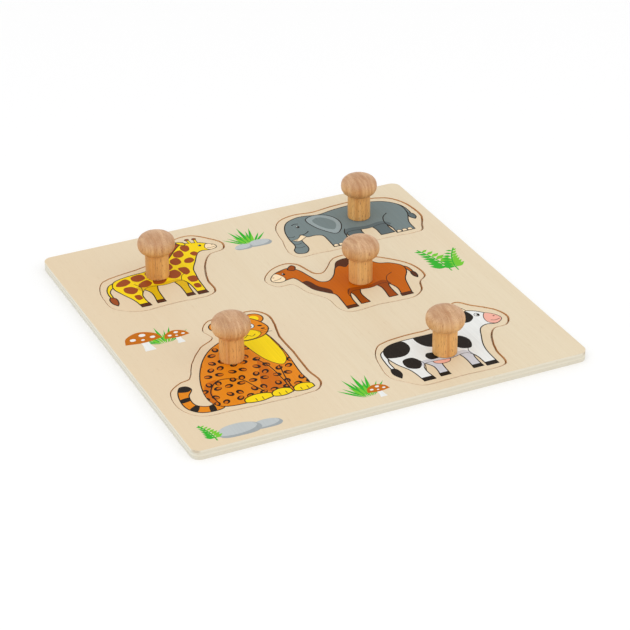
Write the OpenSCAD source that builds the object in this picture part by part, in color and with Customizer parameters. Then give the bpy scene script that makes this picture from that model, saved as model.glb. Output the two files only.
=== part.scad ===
// Wooden peg puzzle: a square board of two glued sheets with five animal insets,
// each lifted out of its own pocket by a turned mushroom knob.
// X runs along the near edge, Y away from it, Z up. The origin is the middle of the underside.

/* [Board] */
// Width of wood left between the outermost inset and the board's edge
rim_w = 9.5; // [4:0.5:30]
// Radius of the board's corners
corner_r = 7; // [3:0.5:20]
// Thickness of the frame board, and of the insets sawn out of it
frame_t = 4.8; // [4:0.1:9]
// Thickness of the backing board
base_t = 2.4; // [1.5:0.1:6]

/* [Insets] */
// Length of the giraffe inset
giraffe_l = 112; // [90:1:115]
// Length of the elephant inset
elephant_l = 118; // [95:1:121]
// Length of the camel inset
camel_l = 110; // [88:1:113]
// Length of the leopard inset
leopard_l = 105; // [84:1:109]
// Length of the cow inset
cow_l = 114; // [92:1:116]

/* [Places] */
// Giraffe's knob axis, to the right of the board's middle
giraffe_x = -81; // [-83:0.5:-78]
// Giraffe's knob axis, behind the board's middle
giraffe_y = 87; // [84:0.5:90]
// Elephant's knob axis, to the right of the board's middle
elephant_x = 96.5; // [94:0.5:97.5]
// Width of wood left between the camel inset and the elephant inset behind it
camel_elephant_gap = 5; // [3:0.5:12]
// Camel's knob axis, to the right of the board's middle
camel_x = 52; // [48:0.5:56]
// Camel's knob axis, behind the board's middle
camel_y = 14.5; // [12:0.5:17]
// Leopard's knob axis, to the right of the board's middle
leopard_x = -79.5; // [-83:0.5:-75]
// Leopard's knob axis, behind the board's middle
leopard_y = -49.5; // [-53:0.5:-45]
// Cow's knob axis, to the right of the board's middle
cow_x = 58.5; // [55:0.5:62]
// Cow's knob axis, behind the board's middle
cow_y = -106.5; // [-108:0.5:-102]

/* [Knobs] */
// Diameter of the mushroom head
knob_head_d = 28; // [22:0.5:40]
// Diameter of the neck
knob_neck_d = 17.6; // [12:0.2:19]
// Height of the neck, up to the head
knob_neck_h = 20.3; // [17:0.1:30]
// Height of the rounded underside of the head
knob_under_h = 6.4; // [2:0.1:10]
// Height of the dome, from the widest part of the head to its top
knob_dome_h = 9; // [4:0.1:16]
// How far the ring under the head stands out from the neck
knob_ring = 0.6; // [0.2:0.1:1.2]
// Radius worn on the foot of the neck
knob_foot_r = 0.8; // [0.2:0.1:2]

/* [Screws] */
// Diameter of a screw's shank
screw_d = 3.5; // [2.5:0.1:4.5]
// Diameter of the countersunk screw head
screw_head_d = 7; // [6:0.1:9]
// Thickness of the straight rim round the screw head
screw_rim = 0.3; // [0.1:0.1:0.8]
// Length of a screw
screw_l = 20; // [14:0.5:22]
// Length of the screw's point
screw_point = 4; // [1:0.5:6]
// Diameter at the very end of the point
screw_tip_d = 0.6; // [0.2:0.1:1.5]
// Width of each arm of the cross recess
cross_w = 0.9; // [0.5:0.1:1.4]
// Tip-to-tip length of the cross recess
cross_l = 3.6; // [2.5:0.1:4.5]
// Depth of the cross recess
cross_depth = 1.3; // [0.6:0.1:1.8]

/* [Fits] */
// Width of the saw cut between an inset and its pocket, with the inset in the middle
kerf = 1.1; // [0.4:0.1:1.6]
// Where the insets lie in their pockets: 0 is in the middle, 1 is against the left wall
lie_left = 0.5; // [0:0.1:0.6]
// Likewise towards the front: 0 is in the middle, 1 is against the front wall
lie_front = 0.2; // [0:0.1:0.6]
// Gap between a screw and the wood all round it
screw_gap = 0.05; // [0.02:0.01:0.15]
// How far a screw head lies above the underside of its inset
screw_sink = 0.2; // [0.1:0.05:0.6]

/* [Hidden] */

$fn = 32;
// A cut that has to pass right through a face runs this far beyond it
over = 1;
// Most that a sawn outline turns between one chord and the next, in degrees
saw_turn = 8;
// Fewest chords between two neighbouring points of a sawn outline
saw_steps = 2;
// Bands of a turned dome
dome_steps = 8;
// Bands of a smaller turned curve
turn_steps = 4;
// How square the dome of a knob is: 2 is an ellipse
dome_power = 2.5;

inset_top = base_t + frame_t;
pocket_shift = kerf * [lie_left, lie_front];
knob_ring_h = 2 * knob_ring;
knob_waist = knob_neck_h + knob_under_h;
knob_h = knob_waist + knob_dome_h;
screw_bottom = base_t + screw_sink;

// Sawn outlines, drawn about the knob axis with the figure standing upright and
// running anticlockwise. Each is scaled to the length that is set above.
giraffe_points = [
    [37, 49], [25, 43.5], [12, 28], [-2, 17], [-22, 13], [-40, 8], [-47, -4], [-49, -20], [-47, -34],
    [-31, -45], [-14, -44.5], [2, -44], [20, -45], [29, -40], [30, -24], [34, -9], [40, 5], [48, 15],
    [60, 18.5], [63, 28], [56, 39], [47, 48]
];
elephant_points = [
    [-46, 24], [-60, 19], [-68, 6], [-70.5, -12], [-74, -30], [-70, -41], [-56, -41], [-44, -42],
    [-18, -41.5], [6, -41], [32, -42], [38, -32], [43.5, -21], [44, -8], [41, 8], [32, 20], [10, 25.5],
    [-14, 24.5], [-30, 22]
];
camel_points = [
    [-41, 47], [-54, 42.5], [-64, 30], [-60, 18], [-48, 16], [-43, 0], [-34, -15], [-32.5, -33], [-26, -40],
    [-4, -38.5], [22, -40], [33, -33], [38, -21], [46, -13], [44, 6], [34, 20], [22, 31], [10, 40], [-4, 39],
    [-14, 28], [-21, 22], [-27, 24], [-30, 33], [-33, 42.5]
];
leopard_points = [
    [22, 55], [6, 56], [-3, 45], [-1, 32], [-14, 23], [-28, 5], [-37, -13], [-46, -16], [-56, -25],
    [-58, -46], [-49, -60.5], [-30, -63], [4, -64.5], [34, -64], [42, -55], [40.5, -38], [42, -10], [42, 14],
    [46, 31], [47, 46], [39, 56]
];
cow_points = [
    [40, 59.5], [28, 53], [17, 43], [5, 33], [-14, 32.5], [-36, 29], [-45, 18], [-49, 2], [-50, -14],
    [-42, -25], [-34, -33], [-20, -33.5], [0, -33], [20, -34], [31, -31], [33, -14], [39, 4], [47, 15],
    [58, 16.5], [64, 26], [60, 39], [48, 51]
];

// Item i of a list that is counted round and round
function item(list, i) = list[(i + len(list)) % len(list)];

// Points scaled so that they span this length from left to right
function spanning(points, length) =
    let (across = [for (p = points) p[0]])
    points * (length / (max(across) - min(across)));

// Which way a smooth curve through the points runs at point i
function heading(points, i) =
    let (before = item(points, i) - item(points, i - 1), after = item(points, i + 1) - item(points, i))
    (before + after) / (norm(before) + norm(after));

// Angle between two directions
function between(u, v) = acos(min(1, u * v / (norm(u) * norm(v))));

// Chords for the stretch of curve from point i to the next one: more where it bends more
function chords(points, i) =
    let (straight = item(points, i + 1) - item(points, i))
    let (bend = between(heading(points, i), straight) + between(straight, heading(points, i + 1)))
    max(saw_steps, ceil(bend / saw_turn));

// Smooth closed curve through the points, a cubic between each pair
function smooth(points) = [
    for (i = [0 : len(points) - 1])
    let (a = item(points, i), b = item(points, i + 1), chord = norm(b - a), steps = chords(points, i))
    for (k = [0 : steps - 1])
    let (t = k / steps)
    (2 * t^3 - 3 * t^2 + 1) * a + (3 * t^2 - 2 * t^3) * b
        + chord * (t^3 - 2 * t^2 + t) * heading(points, i)
        + chord * (t^3 - t^2) * heading(points, i + 1)
];

// An anticlockwise curve with every point moved straight outwards by the gap
function grown(curve, gap) = [
    for (i = [0 : len(curve) - 1])
    let (before = curve[i] - item(curve, i - 1), after = item(curve, i + 1) - curve[i])
    let (along = before / norm(before) + after / norm(after))
    curve[i] + gap * [along[1], -along[0]] / norm(along)
];

// Furthest that a set of points reaches in front of and behind its knob axis
function front_of(points) = min([for (p = points) p[1]]);
function back_of(points) = max([for (p = points) p[1]]);

giraffe_shape = spanning(giraffe_points, giraffe_l);
elephant_shape = spanning(elephant_points, elephant_l);
camel_shape = spanning(camel_points, camel_l);
leopard_shape = spanning(leopard_points, leopard_l);
cow_shape = spanning(cow_points, cow_l);

elephant_y = camel_y + back_of(camel_shape) + camel_elephant_gap - front_of(elephant_shape);

giraffe_place = [giraffe_x, giraffe_y];
elephant_place = [elephant_x, elephant_y];
camel_place = [camel_x, camel_y];
leopard_place = [leopard_x, leopard_y];
cow_place = [cow_x, cow_y];

PIECES = [
    [giraffe_place, giraffe_shape],
    [elephant_place, elephant_shape],
    [camel_place, camel_shape],
    [leopard_place, leopard_shape],
    [cow_place, cow_shape]
];

// The board is square about its middle and follows the inset that reaches furthest out
reach = max([for (piece = PIECES, p = piece[1], along = [0, 1]) abs(piece[0][along] + p[along])]);
board_w = 2 * (reach + rim_w);

// Square sheet with rounded corners
module sheet(thickness) {
    linear_extrude(thickness) {
        square([board_w, board_w - 2 * corner_r], center = true);
        square([board_w - 2 * corner_r, board_w], center = true);
        for (x = [-1, 1], y = [-1, 1])
            translate([x, y] * (board_w / 2 - corner_r)) circle(corner_r);
    }
}

// Backing board that closes the pockets from below
module base_board() {
    color("#e3dac6") sheet(base_t);
}

// Upper board with a pocket sawn right through it for every inset
module frame_board() {
    color("#e6d6b7")
    translate([0, 0, base_t])
    difference() {
        sheet(frame_t);
        for (piece = PIECES)
            translate(piece[0] + pocket_shift)
            translate([0, 0, -over])
            linear_extrude(frame_t + 2 * over) polygon(grown(smooth(piece[1]), kerf));
    }
}

// Half section of a countersunk screw standing on its head, made larger all round by the gap.
// The rim of the head runs down below the screw by the drop.
function screw_section(gap, drop) =
    let (
        head_r = screw_head_d / 2 + gap,
        shank_r = screw_d / 2 + gap,
        shoulder = screw_rim + (screw_head_d - screw_d) / 2
    )
    [
        [0, -drop], [head_r, -drop], [head_r, screw_rim], [shank_r, shoulder],
        [shank_r, screw_l - screw_point], [screw_tip_d / 2 + gap, screw_l + gap], [0, screw_l + gap]
    ];

// Hole for a screw, open to the underside of the inset
module screw_hole() {
    translate([0, 0, screw_bottom]) rotate_extrude() polygon(screw_section(screw_gap, screw_sink + over));
}

// Sawn inset lying on the backing board in its pocket
module inset(place, shape) {
    color("#ead9b9")
    translate(place)
    difference() {
        translate([0, 0, base_t]) linear_extrude(frame_t) polygon(smooth(shape));
        screw_hole();
    }
}

// Half section of a knob, from the axis outwards: foot, neck, ring, head and dome
function knob_section() =
    let (
        neck_r = knob_neck_d / 2,
        head_r = knob_head_d / 2,
        step = 90 / turn_steps,
        dome_step = 90 / dome_steps,
        foot = [for (a = [0 : 2 * step : 90]) knob_foot_r * [sin(a) - 1, 1 - cos(a)] + [neck_r, 0]],
        ring = [for (a = [-90 : 2 * step : 90])
            [neck_r + knob_ring * cos(a), knob_neck_h - knob_ring_h / 2 + knob_ring_h / 2 * sin(a)]],
        under = [for (a = [step : step : 90])
            [neck_r + (head_r - neck_r) * sin(a), knob_waist - knob_under_h * cos(a)]],
        dome = [for (a = [dome_step : dome_step : 90 - dome_step])
            [head_r * cos(a)^(2 / dome_power), knob_waist + knob_dome_h * sin(a)^(2 / dome_power)]]
    )
    concat([[0, 0]], foot, ring, under, dome, [[0, knob_h]]);

// Turned knob standing on its inset, bored up the middle for the screw
module knob(place) {
    color("#cda06e")
    translate(place)
    difference() {
        translate([0, 0, inset_top]) rotate_extrude() polygon(knob_section());
        screw_hole();
    }
}

// Screw that holds a knob to its inset from below, with a cross recess in its head
module screw(place) {
    color("#b9bcc0")
    translate([place[0], place[1], screw_bottom])
    difference() {
        rotate_extrude() polygon(screw_section(0, 0));
        for (turn = [0, 90])
            rotate(turn)
            translate([-cross_l / 2, -cross_w / 2, -over]) cube([cross_l, cross_w, cross_depth + over]);
    }
}

module giraffe_inset() { inset(giraffe_place, giraffe_shape); }
module giraffe_knob() { knob(giraffe_place); }
module giraffe_screw() { screw(giraffe_place); }
module elephant_inset() { inset(elephant_place, elephant_shape); }
module elephant_knob() { knob(elephant_place); }
module elephant_screw() { screw(elephant_place); }
module camel_inset() { inset(camel_place, camel_shape); }
module camel_knob() { knob(camel_place); }
module camel_screw() { screw(camel_place); }
module leopard_inset() { inset(leopard_place, leopard_shape); }
module leopard_knob() { knob(leopard_place); }
module leopard_screw() { screw(leopard_place); }
module cow_inset() { inset(cow_place, cow_shape); }
module cow_knob() { knob(cow_place); }
module cow_screw() { screw(cow_place); }

base_board();
frame_board();
giraffe_inset();
giraffe_knob();
giraffe_screw();
elephant_inset();
elephant_knob();
elephant_screw();
camel_inset();
camel_knob();
camel_screw();
leopard_inset();
leopard_knob();
leopard_screw();
cow_inset();
cow_knob();
cow_screw();
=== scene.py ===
"""Looks of the peg puzzle: a plywood tray, five printed insets, turned beech knobs and their screws."""
from math import cos, degrees, pi, radians, sin

import bmesh
import bpy
import numpy
from mathutils import Matrix, Vector
from mathutils.geometry import delaunay_2d_cdt, interpolate_bezier


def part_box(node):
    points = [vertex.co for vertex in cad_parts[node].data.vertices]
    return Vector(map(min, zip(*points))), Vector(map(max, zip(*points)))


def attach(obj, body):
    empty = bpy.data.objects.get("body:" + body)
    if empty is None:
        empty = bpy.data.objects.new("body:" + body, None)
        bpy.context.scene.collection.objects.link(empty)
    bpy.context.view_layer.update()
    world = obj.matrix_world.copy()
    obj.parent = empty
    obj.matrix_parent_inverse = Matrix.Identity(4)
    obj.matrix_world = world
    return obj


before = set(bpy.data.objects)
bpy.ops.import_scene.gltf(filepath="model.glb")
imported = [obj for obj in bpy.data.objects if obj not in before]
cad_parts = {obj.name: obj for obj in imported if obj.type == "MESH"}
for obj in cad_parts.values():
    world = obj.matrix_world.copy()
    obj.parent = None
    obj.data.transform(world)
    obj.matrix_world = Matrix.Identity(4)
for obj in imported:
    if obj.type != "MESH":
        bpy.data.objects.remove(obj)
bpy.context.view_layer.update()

# Sizes in metres: the tray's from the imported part, and those of the finish
MM = 0.001
tray_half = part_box("frame_board")[1][0]
tray_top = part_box("frame_board")[1][2]
tray_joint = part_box("base_board")[1][2]
rim_band = 4 * MM
edge_round = 0.5 * MM
film_above = 0.05 * MM
film_below = 0.02 * MM

# Length of each inset, in the millimetres that its figure is drawn in
DRAWN_LENGTH = {"giraffe": 112, "elephant": 118, "camel": 110, "leopard": 105, "cow": 114}
ANIMALS = tuple(DRAWN_LENGTH)

# Third value of a point where an outline turns sharply
CORNER = 1

# Widths of drawn lines, in the millimetres of the figures
OUTLINE = 0.85
FINE = 0.55

# Steps between two points of a curve, round an oval, and round one that reaches less than SMALL_OVAL
CURVE_STEPS = 6
OVAL_STEPS = 24
SMALL_STEPS = 12
SMALL_OVAL = 2.5

# Radius of the bare patch under a knob, as a share of the width of its head
BARE_SHARE = 0.25

# Settings of the mosaic: tiles lie only inside the loops, and points this close are one
INSIDE_LOOPS = 1
SAME_POINT = 1e-5


def srgb(red, green, blue):
    """Linear colour of an sRGB value with parts from 0 to 255."""
    def linear(part):
        value = part / 255
        return value / 12.92 if value <= 0.04045 else ((value + 0.055) / 1.055) ** 2.4
    return (linear(red), linear(green), linear(blue), 1.0)


INKS = {
    "line": srgb(38, 30, 23),
    "black": srgb(36, 29, 23),
    "white": srgb(233, 234, 231),
    "pearl": srgb(205, 205, 211),
    "pink": srgb(240, 176, 158),
    "grey": srgb(118, 131, 131),
    "slate": srgb(94, 106, 108),
    "ash": srgb(150, 162, 163),
    "cream": srgb(247, 222, 184),
    "yellow": srgb(245, 212, 14),
    "mustard": srgb(220, 178, 14),
    "brown": srgb(156, 74, 26),
    "umber": srgb(86, 44, 22),
    "orange": srgb(225, 133, 22),
    "amber": srgb(203, 106, 12),
    "tan": srgb(194, 97, 4),
    "russet": srgb(154, 70, 6),
    "leaf": srgb(52, 176, 44),
    "lime": srgb(116, 198, 52),
    "stone": srgb(188, 193, 193),
    "shale": srgb(158, 164, 166),
    "soil": srgb(193, 106, 10),
}


# Materials

class Shader:
    """Builds one material, node by node, on coordinates in metres that stay with the piece."""

    def __init__(self, name):
        self.material = bpy.data.materials.new(name)
        self.material.use_nodes = True
        self.tree = self.material.node_tree
        self.tree.nodes.clear()
        self.coordinates = self.add("TexCoord", {}).outputs["Object"]

    def add(self, kind, inputs, **settings):
        """Adds a node with its settings, and links or sets its inputs."""
        node = self.tree.nodes.new("ShaderNode" + kind)
        for name, value in settings.items():
            setattr(node, name, value)
        for key, value in inputs.items():
            if isinstance(value, bpy.types.NodeSocket):
                self.tree.links.new(value, node.inputs[key])
            else:
                node.inputs[key].default_value = value
        return node

    def noise(self, per_metre, detail, roughness, distortion=0.0, shift=0.0):
        """Noise from 0 to 1 whose cells number per_metre along x, y and z."""
        spread = {"Vector": self.coordinates, "Scale": per_metre, "Location": (shift,) * 3}
        inputs = {
            "Vector": self.add("Mapping", spread).outputs[0],
            "Scale": 1.0,
            "Detail": detail,
            "Roughness": roughness,
            "Distortion": distortion,
        }
        return self.add("TexNoise", inputs).outputs[0]

    def level(self, value, low, high, start=0.0, end=1.0):
        """Spreads a value between low and high over start to end, and clamps it there."""
        inputs = {"Value": value, "From Min": low, "From Max": high, "To Min": start, "To Max": end}
        return self.add("MapRange", inputs).outputs[0]

    def ramp(self, value, stops, interpolation="LINEAR"):
        """Colour at a value from 0 to 1, between stops of a position and a colour."""
        node = self.add("ValToRGB", {"Fac": value})
        node.color_ramp.interpolation = interpolation
        elements = node.color_ramp.elements
        while len(elements) < len(stops):
            elements.new(1.0)
        for element, (position, colour) in zip(elements, stops):
            element.position = position
            element.color = colour
        return node.outputs[0]

    def mix(self, factor, first, second):
        """Mixes two colours, whose sockets are inputs 6 and 7 and output 2 of the node."""
        return self.add("Mix", {0: factor, 6: first, 7: second}, data_type="RGBA").outputs[2]

    def math(self, operation, *values):
        return self.add("Math", dict(enumerate(values)), operation=operation).outputs[0]

    def parts(self, vector):
        """The x, y and z of a vector."""
        return self.add("SeparateXYZ", {"Vector": vector}).outputs

    def normal(self):
        return self.add("NewGeometry", {}).outputs["Normal"]

    def bump(self, height, depth):
        return self.add("Bump", {"Height": height, "Distance": depth, "Strength": 0.6}).outputs[0]

    def finish(self, colour, roughness, normal, **sockets):
        """Gives the material its surface, with any further socket by its name in underscores."""
        inputs = {"Base Color": colour, "Roughness": roughness, "Normal": normal}
        inputs.update({name.replace("_", " "): value for name, value in sockets.items()})
        surface = self.add("BsdfPrincipled", inputs)
        self.add("OutputMaterial", {"Surface": surface.outputs[0]})
        return self.material


def ply_face(name, shift, tint=(1, 1, 1)):
    """Pale rotary-cut face veneer with its grain along y, and a tint over its tones."""
    def tone(*parts):
        return srgb(*(part * share for part, share in zip(parts, tint)))

    wood = Shader(name)
    fibre = wood.noise((900, 15, 900), 6, 0.62, 0.25, shift)
    band = wood.noise((40, 2.6, 40), 3, 0.5, 0.6, shift)
    cloud = wood.noise((15, 8, 15), 2, 0.5, 0.0, shift + 7)
    fleck = wood.noise((1500, 110, 1500), 2, 0.5, 0.0, shift)
    colour = wood.ramp(fibre, [(0.30, tone(221, 204, 173)), (0.70, tone(226, 211, 182))])
    colour = wood.mix(wood.level(band, 0.46, 0.72, 0, 0.35), colour, tone(219, 199, 165))
    colour = wood.mix(wood.level(cloud, 0.46, 0.72, 0, 0.25), colour, tone(224, 199, 167))
    across = wood.parts(wood.coordinates)["X"]
    colour = wood.mix(wood.level(across, 0.1 * tray_half, -tray_half, 0, 0.5), colour, tone(223, 197, 161))
    colour = wood.mix(wood.level(fleck, 0.63, 0.75, 0, 0.25), colour, tone(196, 166, 124))
    roughness = wood.level(fibre, 0.2, 0.8, 0.50, 0.62)
    return wood.finish(colour, roughness, wood.bump(fibre, 0.05 * MM))


def ply_edge(name):
    """Sanded outer edge: three veneers in each board, cut fibres at front and back, scorched corners."""
    wood = Shader(name)
    height = wood.level(wood.parts(wood.coordinates)["Z"], 0, tray_top)
    seam = tray_joint / tray_top
    base_ply = seam / 3
    frame_ply = (1 - seam) / 3
    top_ply = seam + 2 * frame_ply
    stops = [
        (0, srgb(221, 219, 208)),
        (base_ply, srgb(213, 211, 199)),
        (2 * base_ply, srgb(221, 219, 208)),
        (seam - 0.02, srgb(194, 183, 158)),
        (seam + 0.01, srgb(227, 224, 210)),
        (seam + frame_ply, srgb(216, 213, 198)),
        (top_ply, srgb(229, 225, 210)),
    ]
    colour = wood.ramp(height, stops, "CONSTANT")
    facing = wood.parts(wood.normal())
    cut_fibres = wood.level(wood.math("ABSOLUTE", facing["Y"]), 0.3, 0.9, 0, 0.4)
    colour = wood.mix(cut_fibres, colour, srgb(216, 203, 176))
    slant = wood.math("ABSOLUTE", wood.math("MULTIPLY", facing["X"], facing["Y"]))
    corner = wood.level(slant, 0.2, 0.45, 0, 0.5)
    scorch = wood.math("MULTIPLY", corner, wood.level(height, top_ply - 0.1, top_ply))
    colour = wood.mix(scorch, colour, srgb(176, 150, 112))
    streak = wood.noise((75, 75, 3200), 5, 0.65, 0.4)
    pore = wood.noise((520, 520, 900), 2, 0.5)
    colour = wood.mix(wood.level(streak, 0.45, 0.78, 0, 0.4), colour, srgb(204, 186, 154))
    colour = wood.mix(wood.level(pore, 0.62, 0.76, 0, 0.3), colour, srgb(172, 146, 108))
    return wood.finish(colour, wood.level(streak, 0.2, 0.8, 0.55, 0.7), wood.bump(streak, 0.06 * MM))


def sawn_edge(name, light, dark, scorch):
    """Wall left by the saw: ply layers between two tones, with upright blade marks that are scorched."""
    wood = Shader(name)
    mark = wood.noise((1400, 1400, 45), 4, 0.6)
    layer = wood.noise((90, 90, 900), 3, 0.6)
    colour = wood.ramp(layer, [(0.35, dark), (0.65, light)])
    colour = wood.mix(wood.level(mark, 0.5, 0.75, 0, 0.6), colour, scorch)
    return wood.finish(colour, wood.level(mark, 0.2, 0.8, 0.6, 0.8), wood.bump(mark, 0.08 * MM))


def turned_beech(name):
    """Steamed beech, turned: streaks up the neck, end grain towards the dome, small ray flecks, and painted
    shade under the head.
    """
    wood = Shader(name)
    year = wood.noise((170, 70, 5), 4, 0.6, 0.4)
    ring = wood.noise((460, 55, 4), 3, 0.55, 0.5)
    fibre = wood.noise((1200, 1200, 30), 5, 0.62)
    fleck = wood.noise((900, 2100, 270), 2, 0.5)
    pore = wood.noise((2600, 2600, 420), 2, 0.5)
    foot, top = (corner[2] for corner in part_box(ANIMALS[0] + "_knob"))
    height = wood.level(wood.parts(wood.coordinates)["Z"], foot, top)
    end_grain = wood.level(height, 0.55, 0.92)
    # Painted shade: faces that turn downward under the head are darkened, partly as shade under the head and
    # partly as its rough end grain
    underside_shade_and_grain = wood.level(wood.parts(wood.normal())["Z"], 0.1, -0.5, 0, 0.2)
    side = wood.ramp(year, [(0.32, srgb(221, 157, 82)), (0.68, srgb(250, 198, 120))])
    end = wood.ramp(year, [(0.32, srgb(178, 132, 92)), (0.68, srgb(213, 173, 134))])
    colour = wood.mix(end_grain, side, end)
    colour = wood.mix(underside_shade_and_grain, colour, srgb(160, 110, 70))
    colour = wood.mix(wood.level(ring, 0.52, 0.66, 0, 0.42), colour, srgb(180, 124, 76))
    colour = wood.mix(wood.level(ring, 0.48, 0.34, 0, 0.3), colour, srgb(242, 206, 158))
    colour = wood.mix(wood.level(fibre, 0.45, 0.8, 0, 0.4), colour, srgb(186, 126, 72))
    colour = wood.mix(wood.level(fleck, 0.60, 0.70, 0, 0.7), colour, srgb(158, 102, 60))
    colour = wood.mix(wood.level(pore, 0.58, 0.74, 0, 0.5), colour, srgb(138, 90, 56))
    roughness = wood.level(fibre, 0.2, 0.8, 0.42, 0.56)
    return wood.finish(colour, roughness, wood.bump(fleck, 0.05 * MM))


def zinc_steel(name):
    """Zinc-plated screw: bright, finely drawn, a little dull in patches."""
    steel = Shader(name)
    drawn = steel.noise((4000, 4000, 300), 3, 0.6)
    patch = steel.noise((260, 260, 260), 3, 0.6)
    colour = steel.ramp(patch, [(0.35, srgb(186, 186, 182)), (0.7, srgb(214, 215, 214))])
    roughness = steel.level(drawn, 0.2, 0.8, 0.24, 0.42)
    return steel.finish(colour, roughness, steel.bump(drawn, 0.02 * MM), Metallic=1.0)


def printed_ink(name, colour):
    """Screen-printed ink with the veneer's fibres showing through a little."""
    ink = Shader("ink_" + name)
    fibre = ink.noise((900, 15, 900), 6, 0.62, 0.25)
    speck = ink.noise((1800, 700, 1800), 2, 0.5)
    shaded = tuple(part * 0.86 for part in colour[:3]) + (1.0,)
    tone = ink.mix(ink.level(fibre, 0.40, 0.72, 0, 0.6), colour, shaded)
    tone = ink.mix(ink.level(speck, 0.68, 0.80, 0, 0.2), tone, srgb(222, 202, 168))
    normal = ink.bump(fibre, 0.03 * MM)
    return ink.finish(tone, ink.level(fibre, 0.2, 0.8, 0.45, 0.58), normal, Specular_IOR_Level=0.06)


def paper_floor(name):
    """White backdrop paper with a faint tooth."""
    paper = Shader(name)
    tooth = paper.noise((900, 900, 900), 3, 0.6)
    colour = paper.ramp(tooth, [(0.3, srgb(247, 247, 247)), (0.7, srgb(251, 251, 251))])
    return paper.finish(colour, paper.level(tooth, 0.2, 0.8, 0.85, 0.95), paper.bump(tooth, 0.02 * MM))


INK_MATERIALS = {name: printed_ink(name, colour) for name, colour in INKS.items()}


# Printed pictures

def smooth(points, closed=True):
    """Curve through the points, a cubic between each two, that breaks its direction at the corners."""
    places = [Vector(point[:2]) for point in points]
    count = len(points)

    def heading(i, leaving):
        before, here, after = places[i - 1], places[i], places[(i + 1) % count]
        is_end = not closed and i in (0, count - 1)
        if is_end or len(points[i]) > 2:
            return (after - here if leaving else here - before).normalized()
        return (after - before) / ((after - here).length + (here - before).length)

    curve = []
    for i in range(count if closed else count - 1):
        j = (i + 1) % count
        third = (places[j] - places[i]).length / 3
        start_handle = places[i] + heading(i, True) * third
        end_handle = places[j] - heading(j, False) * third
        curve += interpolate_bezier(places[i], start_handle, end_handle, places[j], CURVE_STEPS + 1)[:-1]
    return curve if closed else curve + [places[-1]]


def oval(x, y, wide, tall, turn=0.0):
    """Points round an ellipse of half-width wide and half-height tall, turned by degrees."""
    steps = SMALL_STEPS if max(wide, tall) < SMALL_OVAL else OVAL_STEPS
    angles = [2 * pi * i / steps for i in range(steps)]
    spin = Matrix.Rotation(radians(turn), 2)
    return [spin @ Vector((wide * cos(a), tall * sin(a))) + Vector((x, y)) for a in angles]


def tiles_inside(loop, middles):
    """Numbers of the tiles whose middles lie in a loop, by counting the edges to the right of each."""
    edges = numpy.array(loop)
    low = edges.min(axis=0)
    high = edges.max(axis=0)
    near = numpy.flatnonzero(((middles > low) & (middles < high)).all(axis=1))
    x, y = middles[near].T
    inside = numpy.zeros(len(near), bool)
    for (ax, ay), (bx, by) in zip(edges, numpy.roll(edges, -1, axis=0)):
        if ay != by:
            inside ^= ((ay > y) != (by > y)) & (x < ax + (y - ay) * (bx - ax) / (by - ay))
    return near[inside].tolist()


def film(places, tiles, slots):
    """Thin closed mesh over the tiles that have a material slot."""
    mesh = bmesh.new()
    high = [mesh.verts.new((place.x, place.y, tray_top + film_above)) for place in places]
    low = [mesh.verts.new((place.x, place.y, tray_top - film_below)) for place in places]
    # An edge that no second tile shares is on the film's rim
    rims = {}
    for tile, slot in zip(tiles, slots):
        if slot is None:
            continue
        mesh.faces.new([high[i] for i in tile]).material_index = slot
        mesh.faces.new([low[i] for i in reversed(tile)]).material_index = slot
        for a, b in zip(tile, tile[1:] + tile[:1]):
            if rims.pop((b, a), None) is None:
                rims[(a, b)] = slot
    for (a, b), slot in rims.items():
        mesh.faces.new((low[a], low[b], high[b], high[a])).material_index = slot
    loose = [vert for vert in mesh.verts if not vert.link_faces]
    bmesh.ops.delete(mesh, geom=loose, context="VERTS")
    return mesh


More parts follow.
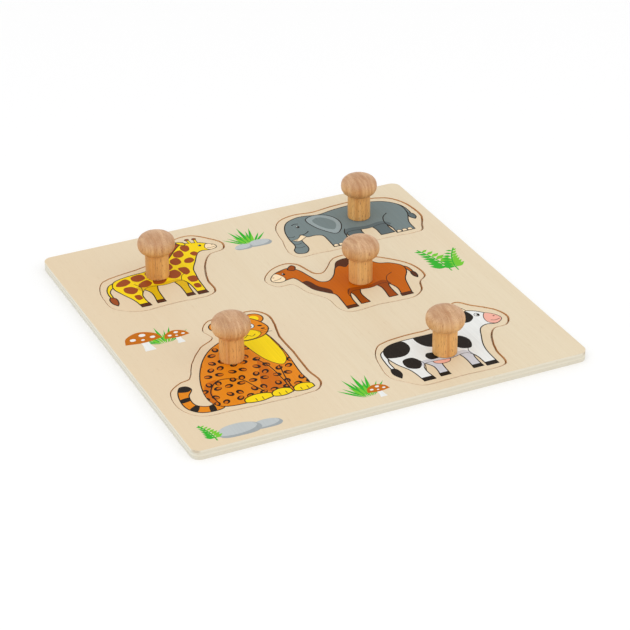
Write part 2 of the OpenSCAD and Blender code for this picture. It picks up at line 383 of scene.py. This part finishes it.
class Print:
    """A picture in flat inks, gathered from the lowest shape to the highest and laid as one thin film."""

    def __init__(self):
        self.loops = []
        self.inks = []
        self.parents = []

    def add_loop(self, ink, loop, within=None):
        """Keeps a closed loop and gives its number; within is the number of a loop that bounds it."""
        twice_area = sum(a.x * b.y - b.x * a.y for a, b in zip(loop, loop[1:] + loop[:1]))
        self.loops.append(loop if twice_area > 0 else loop[::-1])
        self.inks.append(ink)
        self.parents.append(within)
        return len(self.loops) - 1

    def trace(self, curve, width, ink="line", closed=False, within=None):
        """Draws a line of even width along a curve."""
        count = len(curve)
        sides = []
        for i, point in enumerate(curve):
            before = curve[i - 1] if closed or i else point
            after = curve[(i + 1) % count] if closed or i < count - 1 else point
            along = (after - before).normalized()
            across = Vector((-along.y, along.x)) * width / 2
            sides.append((point - across, point + across))
        for i in range(count if closed else count - 1):
            right, left = sides[i]
            next_right, next_left = sides[(i + 1) % count]
            self.add_loop(ink, [right, next_right, next_left, left], within)

    def area(self, ink, points, line=OUTLINE, within=None):
        """Fills a smooth outline with ink and draws its edge."""
        curve = smooth(points)
        number = self.add_loop(ink, curve, within)
        if line:
            self.trace(curve, line, closed=True, within=within)
        return number

    def stroke(self, points, width=OUTLINE, ink="line"):
        """Draws a smooth open line through the points."""
        self.trace(smooth(points, closed=False), width, ink)

    def spot(self, ink, x, y, wide, tall, turn=0.0, line=0.0, within=None):
        """Fills an oval with ink, and draws its edge if the line has a width."""
        curve = oval(x, y, wide, tall, turn)
        self.add_loop(ink, curve, within)
        if line:
            self.trace(curve, line, closed=True)

    def eye(self, x, y, size):
        """Dark eye with a glint."""
        self.spot("black", x, y, size, 1.3 * size)
        self.spot("white", x - 0.3 * size, y + 0.5 * size, 0.36 * size, 0.36 * size)

    def hoof(self, ink, left, right, ankle, ground):
        """Block at the end of a leg, a little wider at the ground than at the ankle."""
        flare = 0.4
        corners = [(right, ankle), (right + flare, ground), (left - flare, ground), (left, ankle)]
        self.area(ink, [corner + (CORNER,) for corner in corners], FINE)

    def top_inks(self, flat, tiles):
        """Ink of the highest loop over each tile, leaving out the loops that are outside their parents."""
        corners = numpy.array(flat)[numpy.array(tiles)]
        middles = corners.mean(axis=1)
        covered = {}
        inks = [None] * len(tiles)
        for number, loop in enumerate(self.loops):
            inside = tiles_inside(loop, middles)
            if number in self.parents:
                covered[number] = set(inside)
            parent = self.parents[number]
            for tile in inside:
                if parent is None or tile in covered[parent]:
                    inks[tile] = self.inks[number]
        return inks

    def mosaic(self):
        """Cuts the overlapping loops into tiles, and gives their points, the tiles and each tile's ink."""
        points = [point for loop in self.loops for point in loop]
        starts = numpy.cumsum([0] + [len(loop) for loop in self.loops])
        faces = [range(start, start + len(loop)) for start, loop in zip(starts, self.loops)]
        flat, _, tiles, _, _, _ = delaunay_2d_cdt(points, [], faces, INSIDE_LOOPS, SAME_POINT)
        return flat, tiles, self.top_inks(flat, tiles)

    def lay(self, name, centre, scale, body):
        """Makes the mosaic a film on the wood, with a material for each ink, that rides on a body."""
        flat, tiles, inks = self.mosaic()
        used = sorted({ink for ink in inks if ink})
        places = [centre + point.to_3d() * scale for point in flat]
        slots = [used.index(ink) if ink else None for ink in inks]
        mesh = film(places, tiles, slots)
        data = bpy.data.meshes.new(name)
        mesh.to_mesh(data)
        mesh.free()
        for ink in used:
            data.materials.append(INK_MATERIALS[ink])
        piece = bpy.data.objects.new(name, data)
        bpy.context.scene.collection.objects.link(piece)
        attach(piece, body)


def draw_giraffe(art):
    """Giraffe that faces right."""
    tail = [(-33, 3), (-39, 0), (-43, -8), (-43.5, -18), (-42, -18), (-41, -9), (-37, -4), (-34, -3)]
    tassel = [(-43.5, -17), (-40.5, -20), (-41, -27), (-43, -31, CORNER), (-45.5, -26), (-45.5, -20)]
    art.area("yellow", tail)
    art.area("brown", tassel)
    far_fore = [(8, -10), (9, -24), (8.5, -38, CORNER), (14, -38, CORNER), (15, -24), (18, -10)]
    far_hind = [(-20, -10), (-14, -22), (-15, -38, CORNER), (-9, -38, CORNER), (-8, -22), (-6, -10)]
    art.area("mustard", far_fore)
    art.area("mustard", far_hind)
    art.hoof("umber", 8.4, 14.2, -35, -39.4)
    art.hoof("umber", -15, -8.9, -35, -39.4)
    art.area("brown", [(4, 12), (14, 22), (25, 35), (33, 42), (37, 40), (30, 30), (18, 16), (10, 10)])
    head_and_neck = [
        (18, 22), (28, 33.5), (35, 39), (42, 37.5), (48, 35.5), (53.5, 31), (57.5, 27.5), (57, 23),
        (51, 21.5), (45, 22.5), (40.5, 20), (33.5, 8), (28, -2), (26.5, -10),
    ]
    fore_leg = [(25, -20), (24, -40, CORNER), (17, -40, CORNER), (16.5, -22), (13, -14.5)]
    hind_leg = [
        (-14, -14), (-20.5, -22), (-21.5, -30), (-20.5, -40, CORNER), (-27.5, -40, CORNER), (-29.5, -28),
    ]
    rump_and_back = [(-34, -16), (-37, -5), (-33.5, 4), (-22, 8), (-6, 9.5), (8, 13)]
    body = art.area("yellow", head_and_neck + fore_leg + [(0, -15.5)] + hind_leg + rump_and_back)
    belly = [(-22, -11), (-6, -12), (12, -11.5), (15, -16), (0, -19), (-18, -18)]
    art.area("mustard", belly, 0, body)
    patches = [
        [(-31, 2), (-24, 5), (-22, -1), (-28, -5), (-34, -3)],
        [(-19, 6), (-11, 7), (-10, 0), (-16, -3), (-20, 0)],
        [(-7, 8), (2, 9.5), (3, 2), (-4, 0), (-8, 3)],
        [(6, 11), (14, 15), (15, 7), (9, 3), (5, 5)],
        [(-30, -8), (-24, -8), (-21, -14), (-26, -19), (-31, -15)],
        [(-17, -6), (-10, -3), (-8, -9), (-13, -13), (-19, -11)],
        [(-5, -4), (2, -2), (4, -8), (-1, -13), (-7, -11)],
        [(7, 0), (15, 3), (17, -5), (11, -10), (6, -6)],
        [(18, 4), (24, 3), (24, -5), (20, -8), (18, -3)],
        [(17, 18), (23, 20), (24, 12), (19, 9), (16, 12)],
        [(24, 28), (30, 30), (30, 22), (26, 19), (22, 22)],
        [(33, 36), (38, 35), (37, 28), (33, 26), (31, 31)],
        [(28, 15), (33, 16), (34, 11), (30, 8), (26, 10)],
        [(35, 22), (39, 24), (41, 19), (37, 17)],
        [(19, -12), (25, -12), (24, -20), (19, -20)],
        [(19, -24), (23, -24), (23, -30), (19, -30)],
        [(-27, -22), (-23, -22), (-22.5, -28), (-26.5, -29)],
    ]
    for patch in patches:
        art.area("brown", patch, 0, body)
    art.hoof("umber", 17, 24.2, -35.5, -40.2)
    art.hoof("umber", -27.6, -20.6, -35.5, -40.2)
    art.area("yellow", [(37.5, 38), (35, 42), (31.5, 43), (32.5, 39.5), (35.5, 36)])
    for root, tip in (((41.5, 37), (41, 43)), ((46, 36), (46.5, 42))):
        art.stroke([root, tip], 2.4)
        art.stroke([root, tip], 1.4, "yellow")
        art.spot("brown", tip[0], tip[1] + 0.6, 1.6, 1.4, 0, FINE)
    art.area("cream", [(52, 31.5), (57.5, 27.5), (57, 23), (51.5, 21.6), (49, 26)], FINE)
    art.stroke([(57, 25), (53, 24.3), (50.5, 25.3)], FINE)
    art.spot("umber", 55.4, 28, 0.7, 0.5)
    art.eye(46.6, 31, 1.3)
    art.stroke([(13.5, -14.4), (16, -8), (20, -5)], FINE)
    art.stroke([(-20, -21), (-18, -12), (-21, -5)], FINE)


def draw_elephant(art):
    """Elephant that faces left."""
    art.area("grey", [(35, 8), (38.5, 2), (39.5, -8), (38.5, -14), (37, -13.5), (37.5, -7), (36, 0), (33, 1)])
    art.area("slate", [(36.5, -12), (39.8, -13), (40.3, -19), (38, -22.5, CORNER), (35.5, -18)])
    far_fore = [(-20, -14), (-21, -26), (-20.5, -35.5, CORNER), (-8.5, -35.5, CORNER), (-9, -24), (-7, -14)]
    far_hind = [(2, -16), (2.5, -26), (2, -35.5, CORNER), (13.5, -35.5, CORNER), (13, -25), (16, -12)]
    art.area("slate", far_fore)
    art.area("slate", far_hind)
    trunk = [
        (-46, 19), (-56, 14), (-62.5, 2), (-65, -12), (-65.5, -24), (-69, -30), (-68.5, -35.5), (-62, -37),
        (-57.5, -31), (-57, -18), (-54.5, -11), (-50, -14), (-44, -14),
    ]
    fore_leg = [
        (-39, -17), (-38.5, -26), (-39, -37.5, CORNER), (-23.5, -37.5, CORNER), (-23, -26), (-18, -19.5),
    ]
    hind_leg = [(12, -19), (15, -27), (14.5, -37.5, CORNER), (30, -37.5, CORNER), (31, -25)]
    rump_and_back = [(37, -10), (37, 5), (27, 16), (8, 20.5), (-12, 19.5), (-28, 16.5), (-38, 19)]
    body = art.area("grey", trunk + fore_leg + [(-2, -21)] + hind_leg + rump_and_back)
    art.area("slate", [(-18, -15), (-2, -16.5), (12, -15), (17, -22), (0, -26), (-22, -25)], 0, body)
    art.area("ash", [(-40, 13), (-31, 17), (-21, 12), (-17, 0), (-21, -12), (-28, -18), (-34, -11), (-39, 0)])
    art.area("grey", [(-36, 9), (-30, 12.5), (-24, 8), (-21, -1), (-26, -11), (-31, -8), (-35, 0)], 0)
    tusk = [(-54, -8, CORNER), (-58, -13), (-64, -15, CORNER), (-59, -17.5), (-51, -13, CORNER)]
    art.area("cream", tusk, FINE)
    art.stroke([(-55, -9.5), (-50, -8.5), (-46, -5.5)])
    art.eye(-50.5, 4.5, 1.5)
    art.stroke([(-54, 8.5), (-51, 9.8), (-48, 9)])
    for left, right, y in ((-64.5, -59, -8), (-65.5, -59, -14), (-65.5, -58.5, -20), (-66.5, -58.5, -26)):
        art.stroke([(left, y), ((left + right) / 2, y - 1.8), (right, y - 1)], FINE)
    art.stroke([(-22.6, -27), (-22, -20), (-19, -14)])
    art.stroke([(14.6, -28), (13.5, -18), (16.5, -9), (22, -4)])
    for x in (-36.6, -32.2, -27.8, 17.2, 21.8, 26.4):
        left_side = [(x - 1.9, -37.2, CORNER), (x - 1.6, -34.6)]
        right_side = [(x + 1.6, -34.6), (x + 1.9, -37.2, CORNER)]
        art.area("cream", left_side + [(x, -33.8)] + right_side, FINE)


def draw_camel(art):
    """Camel with one hump that faces left."""
    art.area("tan", [(35, 8), (40, 4), (41, -5), (39.5, -5.5), (38, 1), (34, 3)])
    art.area("umber", [(39.3, -4), (41.6, -6), (41.5, -11), (40, -14.4, CORNER), (38.2, -10.5)])
    far_fore = [(-16, -6), (-14, -18), (-15, -32.5, CORNER), (-8, -32.5, CORNER), (-8.5, -18), (-4, -6)]
    far_hind = [(6, -6), (9, -17), (7.5, -32.5, CORNER), (14.5, -32.5, CORNER), (15, -18), (18, -6)]
    art.area("russet", far_fore)
    art.area("russet", far_hind)
    head_and_neck = [
        (-35, 34), (-41, 40), (-47, 39), (-53, 36.5), (-58.5, 31), (-59.5, 26), (-55, 22.5), (-48, 24),
        (-43, 24), (-40, 14), (-37, 2), (-30, -7),
    ]
    fore_leg = [
        (-26, -12), (-26, -22), (-27, -34.5, CORNER), (-18.5, -34.5, CORNER), (-17.5, -21), (-13, -12.5),
    ]
    hind_leg = [
        (14, -11), (18.5, -19), (19, -25), (17, -34.5, CORNER), (25.5, -34.5, CORNER), (28, -23), (31, -12),
    ]
    rump_and_hump = [(37, -2), (38, 7), (31, 15), (24, 18), (18, 26), (8, 35), (-3, 34), (-9, 25), (-15, 15)]
    throat = [(-22, 9), (-28, 11), (-31.5, 22)]
    body = art.area("tan", head_and_neck + fore_leg + [(2, -13.5)] + hind_leg + rump_and_hump + throat)
    art.area("russet", [(-14, -8), (2, -9.5), (15, -7), (18, -15), (2, -17), (-16, -16)], 0, body)
    hump = [(18, 26), (8, 37), (-3, 36), (-9, 25), (-5, 27), (-1, 23.5), (4, 27.5), (9, 23.5), (13, 27)]
    art.area("umber", hump, FINE, body)
    mane = [(-42, 14), (-36, 16), (-32, 5), (-26, -4), (-28, -11), (-35, -4), (-40, 3)]
    art.area("umber", mane, 0, body)
    muzzle = [(-53, 36), (-58.5, 31), (-59.5, 26), (-55, 22.6), (-50, 23.8), (-49, 29)]
    art.area("cream", muzzle, FINE)
    art.stroke([(-58.5, 26.5), (-54, 27), (-51, 28.8)], FINE)
    art.spot("umber", -56.6, 31, 0.8, 0.5)
    art.eye(-47.6, 33, 1.4)
    art.stroke([(-50.5, 36.6), (-48, 37.3), (-46, 36)], FINE)
    art.area("russet", [(-42, 38), (-37, 43), (-35, 40), (-38, 35)])
    art.stroke([(-17.4, -22), (-17, -14), (-13, -8)], FINE)
    art.stroke([(18.4, -20), (17, -11), (20, -3), (26, 1)], FINE)
    art.hoof("umber", -26.8, -18.5, -31, -35)
    art.hoof("umber", 17.2, 25.8, -31, -35)


def rosettes(art, coat):
    """Dark rings over a coat, in staggered rows, each open on one side and turned from the last."""
    left = -38
    top = 25
    pitch = 8.8
    row_pitch = 8.4
    stray = 1.1
    opening = 0.9
    for row in range(10):
        for column in range(9):
            turn = 5 * row + 3 * column
            tilt = degrees(turn)
            x = left + pitch * column + pitch / 2 * (row % 2) + stray * sin(turn)
            y = top - row_pitch * row + stray * cos(2 * turn)
            art.spot("black", x, y, 3, 2.4, tilt, within=coat)
            art.spot("amber", x + opening * cos(turn), y + opening * sin(turn), 1.9, 1.2, tilt, within=coat)


def draw_leopard(art):
    """Leopard that sits and looks out of the picture."""
    tail_inside = [(-28, -46), (-38, -51), (-46, -46), (-46, -34), (-41, -26), (-43, -21)]
    tail_outside = [(-48, -21), (-53, -33), (-53, -48), (-45, -57), (-30, -57)]
    tail = art.area("orange", tail_inside + tail_outside)
    tail_rings = [
        [(-42, -20), (-48, -19), (-51, -25.5), (-44, -28), (-41, -25)],
        [(-54, -36), (-45, -35), (-45, -38.5), (-54, -40)],
        [(-53, -51), (-46, -46), (-44, -48), (-49, -55)],
        [(-40, -59), (-38, -50), (-35, -50), (-36, -59)],
    ]
    for ring in tail_rings:
        art.area("black", ring, 0, tail)
    back = [(4, 26), (-10, 17), (-22, 2), (-32, -20), (-36, -42), (-32, -54), (-20, -58)]
    front = [
        (4, -58), (20, -57.5), (33, -57.5), (35.5, -50), (35, -38), (37, -12), (37, 8), (34, 24), (20, 34),
    ]
    body = art.area("orange", back + front)
    art.area("amber", [(-36, -40), (-30, -24), (-21, -22), (-30, -36), (-31, -54), (-36, -54)], 0, body)
    art.area("amber", [(8, -54), (18, -54), (19, -30), (15, -10), (10, -24), (4, -44)], 0, body)
    rosettes(art, body)
    art.area("yellow", [(16, 24), (33, 24), (36, 8), (35, -14), (29, -22), (22, -14), (17, 4)], FINE, body)
    art.stroke([(20, -56), (20.5, -40), (19, -20), (14, -6)])
    art.stroke([(22, -56), (23, -40), (26, -22)])
    art.stroke([(-31, -53), (-31, -36), (-20, -23), (-6, -28), (0, -42), (3, -50)])
    for left, right in ((-14, 6), (6, 20.5), (22, 36.4)):
        heel = (left, -58)
        toes = (right, -58, CORNER)
        middle = (left + right) / 2
        art.area("yellow", [heel, (left + 1, -53), (middle, -50.6), (right - 0.6, -53), toes, (middle, -60)])
        for x in (middle - 2.4, middle + 2.4):
            art.stroke([(x, -58.8), (x, -55.2)], FINE)
    for x in (9, 36):
        art.spot("orange", x, 45, 7, 7, 0, OUTLINE)
        art.spot("yellow", x, 45.2, 3.8, 3.8)
    half_face = [(33, 47), (39, 38), (40.5, 29), (34, 20.5)]
    centre_x = 22.5
    other_half = [(2 * centre_x - x, y) for x, y in reversed(half_face)]
    head = art.area("orange", [(centre_x, 50)] + half_face + [(centre_x, 18)] + other_half)
    muzzle = [(22.5, 33), (29, 30.5), (33, 25), (29, 20), (22.5, 18.6), (16, 20), (12, 25), (16, 30.5)]
    art.area("yellow", muzzle, FINE)
    for side in (-1, 1):
        x = centre_x + side * 7
        art.spot("white", x, 36.5, 3, 3.6, 0, FINE)
        art.eye(x - side * 0.7, 36, 1.7)
        art.spot("black", centre_x + side * 4.5, 44, 1, 1.8, -20 * side, within=head)
        art.spot("black", centre_x + side * 9, 44.5, 0.9, 1.4, -35 * side, within=head)
        art.spot("black", centre_x + side * 13.5, 34, 1.8, 1, -20 * side, within=head)
        art.spot("black", centre_x + side * 14, 29.5, 1.6, 0.9, -10 * side, within=head)
        for y, fall in ((26.5, 0.8), (24.8, -1.4)):
            art.stroke([(centre_x + side * 8.5, y), (centre_x + side * 18.5, y + fall)], 0.35)
    art.spot("black", centre_x, 45, 1.1, 2.2, within=head)
    art.area("umber", [(19, 31), (22.5, 32), (26, 31), (24.5, 28), (22.5, 26.8), (20.5, 28)], FINE)
    art.stroke([(22.5, 27), (22.5, 24.5)], FINE)
    art.stroke([(16.5, 24.5), (19.5, 22.3), (22.5, 24.5), (25.5, 22.3), (28.5, 24.5)], FINE)


def draw_cow(art):
    """Cow that faces right."""
    tail = [(-37, 20), (-42, 16), (-44, 4), (-44, -6), (-42, -6), (-41.5, 4), (-38, 12), (-35, 14)]
    art.area("white", tail)
    art.area("black", [(-44.5, -5), (-41, -6), (-40, -13), (-43, -19, CORNER), (-46, -12)], FINE)
    far_fore = [(8, -2), (9, -14), (8.5, -27, CORNER), (15.5, -27, CORNER), (16, -14), (19, -2)]
    far_hind = [(-22, -2), (-16, -14), (-17, -27, CORNER), (-10, -27, CORNER), (-9, -14), (-6, -2)]
    art.area("pearl", far_fore)
    art.area("pearl", far_hind)
    art.hoof("black", 8.4, 15.6, -24, -28)
    art.hoof("black", -17, -10, -24, -28)
    art.area("pink", [(-12, -4), (-13, -10), (-8, -13), (-2, -12), (0, -6), (-4, -2)], FINE)
    head_and_neck = [
        (18, 30), (28, 39), (37, 46), (46, 43), (53, 36), (58, 31), (59, 25), (53, 20.5), (45, 22),
        (39, 19), (34, 9), (29.5, -2),
    ]
    fore_leg = [(27.5, -12), (27, -28.5, CORNER), (18.5, -28.5, CORNER), (17.5, -13), (13, -7)]
    hind_leg = [(-20, -8), (-23, -16), (-22, -28.5, CORNER), (-30.5, -28.5, CORNER), (-32.5, -13)]
    rump_and_back = [(-38, 0), (-40, 12), (-37, 21), (-28, 26), (-10, 27), (6, 27)]
    body = art.area("white", head_and_neck + fore_leg + [(0, -9), (-12, -7.5)] + hind_leg + rump_and_back)
    art.area("pearl", [(-20, -4), (0, -5.5), (13, -3), (17, -10), (0, -13), (-22, -12)], 0, body)
    patches = [
        [(-40, 20), (-30, 28), (-20, 26), (-19, 16), (-26, 8), (-36, 8), (-42, 12)],
        [(-10, 29), (4, 29), (10, 20), (4, 10), (-6, 11), (-11, 19)],
        [(12, 14), (20, 16), (24, 8), (20, -2), (13, 0), (10, 7)],
        [(-32, 2), (-24, 3), (-21, -5), (-26, -12), (-33, -8)],
        [(26, 42), (34, 48), (40, 46), (42, 36), (36, 30), (29, 32)],
        [(-12, 4), (-6, 2), (-6, -4), (-13, -5), (-15, 0)],
    ]
    for patch in patches:
        art.area("black", patch, 0, body)
    art.hoof("black", 18.4, 27, -24.5, -29)
    art.hoof("black", -30.5, -22.2, -24.5, -29)
    art.area("pink", [(52, 37), (58, 31.3), (59.3, 25), (53, 20.6), (48, 24), (48, 31)], FINE)
    art.stroke([(58, 25.5), (54, 24.6), (51, 26)], FINE)
    art.spot("umber", 55.8, 30.5, 0.8, 0.6)
    art.spot("white", 45.5, 37, 1.9, 2.3, 0, FINE)
    art.eye(46, 36.8, 1.2)
    art.area("cream", [(36, 46), (35, 50.5), (38, 54, CORNER), (40, 50), (41, 45.5)], FINE)
    art.area("black", [(33.5, 44), (28.5, 47), (24.3, 45.3), (27, 41), (32.5, 40.3)], FINE)
    art.area("pink", [(31.5, 43.6), (28.3, 45.4), (26.3, 44.6), (28, 42)], 0)
    art.stroke([(17.4, -14), (16, -6), (19, 1)], FINE)
    art.stroke([(-23, -17), (-20, -8), (-22, 0)], FINE)


DRAWINGS = {
    "giraffe": draw_giraffe,
    "elephant": draw_elephant,
    "camel": draw_camel,
    "leopard": draw_leopard,
    "cow": draw_cow,
}


def placed(outline, x, y, wide, tall):
    """A unit outline at a place, a width and a height."""
    return [(x + wide * u, y + tall * v, *corner) for u, v, *corner in outline]


def leaf(art, ink, x, y, reach, rise, girth=0.22):
    """Pointed leaf from its foot at x, y to its tip, with girth as a share of its length to each side."""
    foot = (x, y, CORNER)
    tip = (x + reach, y + rise, CORNER)
    left = (x + 0.45 * reach - girth * rise, y + 0.45 * rise + girth * reach)
    right = (x + 0.45 * reach + girth * rise, y + 0.45 * rise - girth * reach)
    art.area(ink, [foot, right, tip, left], 0)


def tuft(art, x, y, height, spread):
    """Grass fanning out from one root, long blades first and short light ones in front."""
    long_blades = 9
    for i in range(long_blades):
        across = 2 * i / (long_blades - 1) - 1
        tall = height * (1 - 0.5 * across * across) * (0.76 if i % 2 else 1)
        leaf(art, "leaf", x + 0.25 * spread * across, y, spread * across, tall, 0.045)
    for across in (-0.6, -0.2, 0.15, 0.5):
        leaf(art, "lime", x + 0.3 * spread * across, y, 0.7 * spread * across, 0.55 * height, 0.07)


def fern(art, x, y, height, lean):
    """Arched stem with pairs of leaflets that shorten to the tip."""
    pairs = 7
    for i in range(pairs):
        along = 0.16 + 0.84 * i / pairs
        length = 0.34 * height * (1 - 0.7 * along)
        foot = (x + lean * along * along, y + height * along)
        leaf(art, "leaf", *foot, -length, 0.5 * length)
        leaf(art, "lime", *foot, length, 0.5 * length)
    art.stroke([(x + lean * t * t, y + height * t) for t in (0, 0.25, 0.5, 0.75, 1)], 1, "leaf")


def pebble(art, x, y, wide, tall):
    """Worn stone, light above and darker at its foot."""
    outline = [
        (0.5, -0.1), (0.4, 0.3), (0.08, 0.5), (-0.28, 0.42),
        (-0.5, 0.02), (-0.38, -0.36), (0, -0.45), (0.36, -0.4),
    ]
    foot = art.area("shale", placed(outline, x, y, wide, tall), 0)
    art.spot("stone", x - 0.07 * wide, y + 0.13 * tall, 0.5 * wide, 0.42 * tall, within=foot)


def toadstool(art, x, y, size):
    """Pale stem under a domed cap with dots."""
    stem = [
        (-0.15, 0, CORNER), (0.15, 0, CORNER), (0.1, 0.3),
        (0.12, 0.6, CORNER), (-0.12, 0.6, CORNER), (-0.1, 0.3),
    ]
    cap = [(-0.5, 0.5, CORNER), (-0.38, 0.8), (0, 0.98), (0.38, 0.8), (0.5, 0.5, CORNER), (0, 0.42)]
    art.area("white", placed(stem, x, y, size, size), 0)
    dome = art.area("soil", placed(cap, x, y, size, size), 0)
    for u, v, share in ((-0.24, 0.66, 0.08), (0.06, 0.8, 0.09), (0.28, 0.62, 0.07), (0, 0.57, 0.05)):
        art.spot("white", x + size * u, y + size * v, size * share, 0.8 * size * share, within=dome)


def draw_meadow(art):
    """Small ornaments on the tray between the pockets."""
    tuft(art, 2, 103, 29, 14)
    pebble(art, 9, 102, 19, 11)
    pebble(art, -5, 101, 14, 9)
    tuft(art, -113, -9, 24, 17)
    toadstool(art, -126, -14, 28)
    toadstool(art, -102, -13, 19)
    fern(art, 120, -2, 40, -9)
    fern(art, 125, -3, 33, 13)
    pebble(art, -92, -138, 22, 11)
    pebble(art, -112, -137, 32, 16)
    fern(art, -130, -143, 22, -5)
    tuft(art, -15, -137, 31, 14)
    toadstool(art, -6, -141, 17)


def print_animals():
    """Lays each figure on its inset, about its knob, with a bare patch under the knob's foot."""
    for animal in ANIMALS:
        art = Print()
        DRAWINGS[animal](art)
        low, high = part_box(animal + "_inset")
        scale = (high[0] - low[0]) / DRAWN_LENGTH[animal]
        knob_low, knob_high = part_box(animal + "_knob")
        centre = Vector(((knob_low[0] + knob_high[0]) / 2, (knob_low[1] + knob_high[1]) / 2, 0))
        bare = BARE_SHARE * (knob_high[0] - knob_low[0]) / scale
        art.add_loop(None, oval(0, 0, bare, bare))
        art.lay(animal + "_print", centre, scale, animal)


def print_tray():
    """Lays the ornaments on the tray, about its middle."""
    art = Print()
    draw_meadow(art)
    art.lay("tray_print", Vector((0, 0, 0)), MM, "tray")


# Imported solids

def dress(node, materials, choose=None):
    """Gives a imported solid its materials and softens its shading.

    A sheet chooses a material for each face and has eased edges; any other solid has one material.
    """
    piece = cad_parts[node]
    data = piece.data
    data.materials.clear()
    for material in materials:
        data.materials.append(material)
    for face in data.polygons:
        face.material_index = choose(face) if choose else 0
        face.use_smooth = True
    for edge in data.edges:
        edge.use_edge_sharp = False
    weld = piece.modifiers.new("weld", "WELD")
    weld.merge_threshold = 0.01 * MM
    if choose:
        bevel = piece.modifiers.new("eased edges", "BEVEL")
        bevel.width = edge_round
        bevel.segments = 2
        bevel.angle_limit = radians(50)
    piece.modifiers.new("shading", "WEIGHTED_NORMAL")


def is_flat(face):
    return abs(face.normal.z) > 0.9


def is_outer(face):
    """True on the tray's outer rim, and false on the pocket walls."""
    return max(abs(face.center.x), abs(face.center.y)) > tray_half - rim_band


def flat_or_wall(face):
    """Material number of a plain sheet's face: 0 on its flat sides and 1 on its walls."""
    return 0 if is_flat(face) else 1


def flat_rim_or_pocket(face):
    """Material number of a face of the frame board: 0 flat, 1 on the rim and 2 in the pockets."""
    if is_flat(face):
        return 0
    return 1 if is_outer(face) else 2


def dress_solids():
    """Makes the materials and gives them to the boards, insets, knobs and screws."""
    frame_face = ply_face("ply_face", 0.0)
    inset_face = ply_face("ply_inset", 0.0, (1, 0.987, 0.972))
    base_face = ply_face("ply_backing", 40.0)
    rim = ply_edge("ply_edge")
    pocket_wall = sawn_edge("sawn_pocket", srgb(236, 190, 136), srgb(212, 156, 102), srgb(170, 108, 62))
    inset_wall = sawn_edge("sawn_inset", srgb(246, 230, 204), srgb(232, 208, 174), srgb(206, 168, 126))
    beech = turned_beech("turned_beech")
    zinc = zinc_steel("zinc_steel")
    dress("base_board", [base_face, rim], flat_or_wall)
    dress("frame_board", [frame_face, rim, pocket_wall], flat_rim_or_pocket)
    for animal in ANIMALS:
        dress(animal + "_inset", [inset_face, inset_wall], flat_or_wall)
        dress(animal + "_knob", [beech])
        dress(animal + "_screw", [zinc])


# Studio

def place_camera():
    """Stands the camera where the photograph was taken from."""
    azimuth = radians(-24.81)
    elevation = radians(29.39)
    roll = radians(-0.56)
    distance = 1.6831
    target = Vector((0.00451, -0.00701, 0))
    back = Vector((sin(azimuth) * cos(elevation), -cos(azimuth) * cos(elevation), sin(elevation)))
    right = Vector((cos(azimuth), sin(azimuth), 0))
    level = Matrix((right, back.cross(right), back)).transposed()
    turned = level @ Matrix.Rotation(roll, 3, "Z")
    data = bpy.data.cameras.new("camera")
    data.lens = 131.97
    data.sensor_width = 36
    camera = bpy.data.objects.new("camera", data)
    camera.matrix_world = Matrix.Translation(target + back * distance) @ turned.to_4x4()
    bpy.context.scene.collection.objects.link(camera)
    bpy.context.scene.camera = camera


def lay_floor():
    """Spreads the floor that the tray stands on."""
    reach = 4.0
    mesh = bmesh.new()
    corners = [(-reach, -reach), (reach, -reach), (reach, reach), (-reach, reach)]
    mesh.faces.new([mesh.verts.new((x, y, 0)) for x, y in corners])
    data = bpy.data.meshes.new("floor")
    mesh.to_mesh(data)
    mesh.free()
    data.materials.append(paper_floor("paper"))
    floor = bpy.data.objects.new("floor", data)
    bpy.context.scene.collection.objects.link(floor)


def soft_light(name, place, size, power):
    """Square soft box that faces the middle of the tray."""
    data = bpy.data.lights.new(name, "AREA")
    data.size = size
    data.energy = power
    lamp = bpy.data.objects.new(name, data)
    lamp.location = place
    lamp.rotation_euler = Vector(place).to_track_quat("Z", "Y").to_euler()
    bpy.context.scene.collection.objects.link(lamp)


def light_studio():
    """White surroundings, a key light from the left and a weaker fill from the right."""
    scene = bpy.context.scene
    scene.view_settings.view_transform = "Standard"
    world = bpy.data.worlds.new("studio")
    world.use_nodes = True
    sky = world.node_tree.nodes["Background"]
    sky.inputs["Color"].default_value = (1, 1, 1, 1)
    sky.inputs["Strength"].default_value = 0.94
    scene.world = world
    soft_light("key", (-1.5, -1.1, 2.4), 2.2, 14)
    soft_light("fill", (1.9, -1.7, 1.5), 2.2, 7)


print_animals()
print_tray()
dress_solids()
lay_floor()
light_studio()
place_camera()
